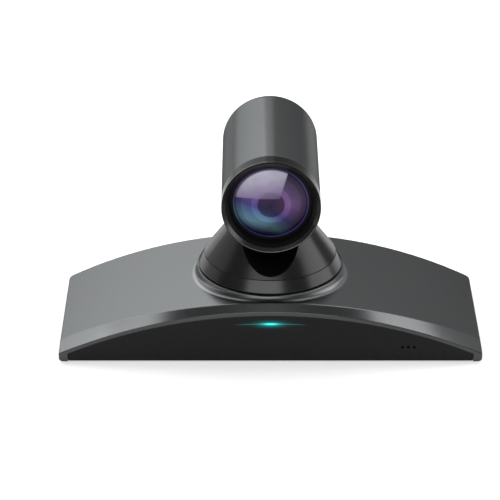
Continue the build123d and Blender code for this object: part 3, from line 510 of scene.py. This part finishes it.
def painted_softbox_reflection(tree, u, w, r):
    """Strength and colour of a painted softbox reflection over the upper left, with a straight lower and a
    slanting right edge.
    """
    low_edge = span(tree, w, (0.155, 0.190), (0.0, 1.0), smooth=True)
    slant = subtract(tree, u, multiply(tree, w, 0.31))
    right_edge = span(tree, slant, (0.145, 0.185), (1.0, 0.0), smooth=True)
    outer_edge = span(tree, r, (0.89, 0.935), (1.0, 0.0))
    outwards = span(tree, r, (0.30, 0.62), (0.75, 0.95))
    upwards = span(tree, w, (0.1, 0.6), (0.7, 1.0))
    strength = multiply(tree, low_edge, right_edge, outer_edge, outwards, upwards)
    height = span(tree, subtract(tree, w, multiply(tree, u, 0.25)), (0.05, 1.05), (0.0, 1.0))
    return strength, blend_colours(tree, height, (0.110, 0.066, 0.185), (0.520, 0.510, 0.590))


def painted_edge_line(tree, u, w, r):
    """Strength of the violet line of painted light in the dark edge, fading from the lower right to the
    upper left.
    """
    line_in = span(tree, r, (0.925, 0.940), (0.0, 1.0))
    line_out = span(tree, r, (0.955, 0.970), (1.0, 0.0))
    fading = span(tree, subtract(tree, u, w), (-0.7, 0.9), (0.1, 0.9))
    return multiply(tree, line_in, line_out, fading)


def painted_lens_light_and_shade(name, radius, centre_z):
    """Front lens as it looks from outside, all painted: reflections in coloured coatings, in rings round a
    dark pupil, with a softbox reflection and a faint glow.

    u runs to the right, w upwards and r outwards, each as a part of the radius.
    """
    material, tree, shader = new_material(name)
    place = coordinates(tree)
    at = axes(tree, place)
    u = divide(tree, at["X"], radius)
    w = divide(tree, subtract(tree, at["Z"], centre_z), radius)
    r = length(tree, u, w)
    # Painted reflections in coloured rings, with painted shade in the pupil and at the edge.
    coat = multiply_colours(tree, reflection_hue(tree, u, w), painted_rings_light_and_shade(tree, r), gain=2.0)
    # Painted shade, darker towards the lower right.
    lower_right = add(tree, multiply(tree, u, 0.45), multiply(tree, w, -0.9))
    coat = multiply_colours(tree, coat, span(tree, lower_right, (0.15, 0.75), (1.0, 0.28), smooth=True))
    # Painted reflection of a softbox over the upper left, laid over the rings.
    strength, pale = painted_softbox_reflection(tree, u, w, r)
    coat = blend_colours(tree, strength, coat, pale)
    # Painted violet line of light in the dark edge.
    coat = blend_colours(tree, painted_edge_line(tree, u, w, r), coat, (0.060, 0.036, 0.200))
    mottle = span(tree, noise(tree, place, 160.0, 2.0), (0.3, 0.7), (0.94, 1.06))
    coat = multiply_colours(tree, coat, mottle)
    connect(tree, coat, shader.inputs["Base Color"])
    # Painted glow: the lens gives off a little light in its painted colours.
    connect(tree, coat, shader.inputs["Emission Color"])
    shader.inputs["Emission Strength"].default_value = 0.10
    set_roughness(tree, shader, noise(tree, place, 90.0), (0.3, 0.7), (0.10, 0.16))
    set_gloss(shader, specular=0.04)
    shader.inputs["Coat Weight"].default_value = 0.14
    shader.inputs["Coat Roughness"].default_value = 0.02
    return material


# ---------------------------------------------------------------- build
def paint(node, material):
    mesh = nodes[node].data
    mesh.materials.clear()
    mesh.materials.append(material)


add_camera()
add_world(strength=0.13)
add_floor(reach=30.0)
# Name, azimuth and height in degrees, distance and size in metres, radiance.
for box in (
    ("back_left", -27.0, 21.0, 2.2, (1.50, 1.60), 2.05),
    ("back_middle", -2.5, 22.0, 2.2, (0.38, 1.50), 1.10),
    ("back_right", 24.0, 21.0, 2.2, (1.55, 1.60), 0.42),
    ("overhead", 5.0, 66.0, 2.2, (3.4, 1.5), 1.9),
    ("front", 190.0, 33.0, 3.2, (3.1, 1.2), 3.4),
    ("front_low", 180.0, 9.5, 3.2, (5.6, 1.15), 0.42),
    ("right", 91.0, 18.0, 2.2, (1.8, 1.4), 2.1),
    ("left", -70.0, 18.0, 2.2, (1.6, 1.4), 0.50),
):
    softbox(*box)

shell_grey = (0.170, 0.176, 0.178)
black = (0.010, 0.010, 0.010)
cool_black = (0.010, 0.010, 0.0105)
steel = (0.55, 0.56, 0.58)
# The numbers after a plastic's colour are its roughness and specular level, after a metal's its roughness.
looks = {
    "shell_grey": anodised("barrel_anodised", shell_grey),
    "panel_black": smoked_panel("panel_smoked"),
    "cover_black": calm_edges(moulded("cover_satin", (0.0070, 0.0070, 0.0073), 0.24, 0.50), level=0.50),
    "bezel_black": bezel_plastic("bezel_satin", axis_z, funnel_mouth_r),
    "shroud_black": moulded("shroud_matt", (0.0022, 0.0022, 0.0022), 0.7, 0.06),
    "tray_black": moulded("tray_texture", (0.012, 0.012, 0.0125), 0.48, 0.4, scale=1500.0, depth=0.00003),
    "light_cyan": light_bar("light_bar"),
    "rubber_black": moulded("rubber", black, 0.72, 0.2, scale=900.0, depth=0.00004),
    "board_green": circuit("solder_mask", (0.008, 0.055, 0.028), (0.020, 0.130, 0.060)),
    "chip_black": moulded("moulded_black", cool_black, 0.42, 0.4, scale=1900.0),
    "sink_aluminium": turned_metal("heat_sink_metal", steel, 0.36),
    "cast_aluminium": turned_metal("cast_metal", (0.42, 0.43, 0.45), 0.45, grain=(900.0, 900.0, 900.0)),
    "zinc_steel": turned_metal("zinc_plate", steel, 0.32, tint=(0.62, 0.62, 0.58)),
    "screw_steel": turned_metal("black_oxide", (0.06, 0.06, 0.065), 0.34),
    "port_metal": turned_metal("nickel_plate", (0.62, 0.60, 0.56), 0.22, grain=(1800.0, 60.0, 60.0)),
    "port_black": moulded("socket_black", black, 0.35, 0.45),
    "brass_insert": turned_metal("brass", (0.62, 0.44, 0.17), 0.27, tint=(0.72, 0.53, 0.24)),
    "bearing_steel": turned_metal("ground_steel", (0.58, 0.58, 0.60), 0.18),
    "gear_white": moulded("acetal", (0.62, 0.60, 0.55), 0.38, 0.5, scale=1200.0),
    "bronze_bush": turned_metal("bronze", (0.42, 0.26, 0.12), 0.38, tint=(0.52, 0.34, 0.17)),
    "cable_black": moulded("cable_jacket", black, 0.6, 0.3, scale=700.0),
    # The rings are a little wider than the glass, whose edge cuts off the last dark one.
    "front_glass": painted_lens_light_and_shade("front_lens_painted_light", glass_r * 1.03, axis_z),
    "inner_glass": clear_glass("inner_glass", (0.80, 0.88, 0.92)),
    "filter_glass": clear_glass("filter_glass", (0.70, 0.30, 0.32)),
}
for row in frame["record"]["subparts"]:
    paint(row["node"], looks[row["material_slot"]])

# These share a slot in the record with pieces that look a little different.
paint("top_shell", base_anodised("base_anodised", shell_grey))
paint("lens_housing", moulded("cell_matt", (0.0030, 0.0030, 0.0032), 0.50, 0.08))
paint("yoke_frame", moulded("yoke_paint", cool_black, 0.45, 0.30, scale=1400.0))
black_board = circuit("black_solder_mask", (0.002, 0.002, 0.0022), (0.004, 0.004, 0.0045), specular=0.05)
for board in ("mic_board", "led_board"):
    paint(board, black_board)

bpy.context.scene.view_settings.view_transform = "Standard"
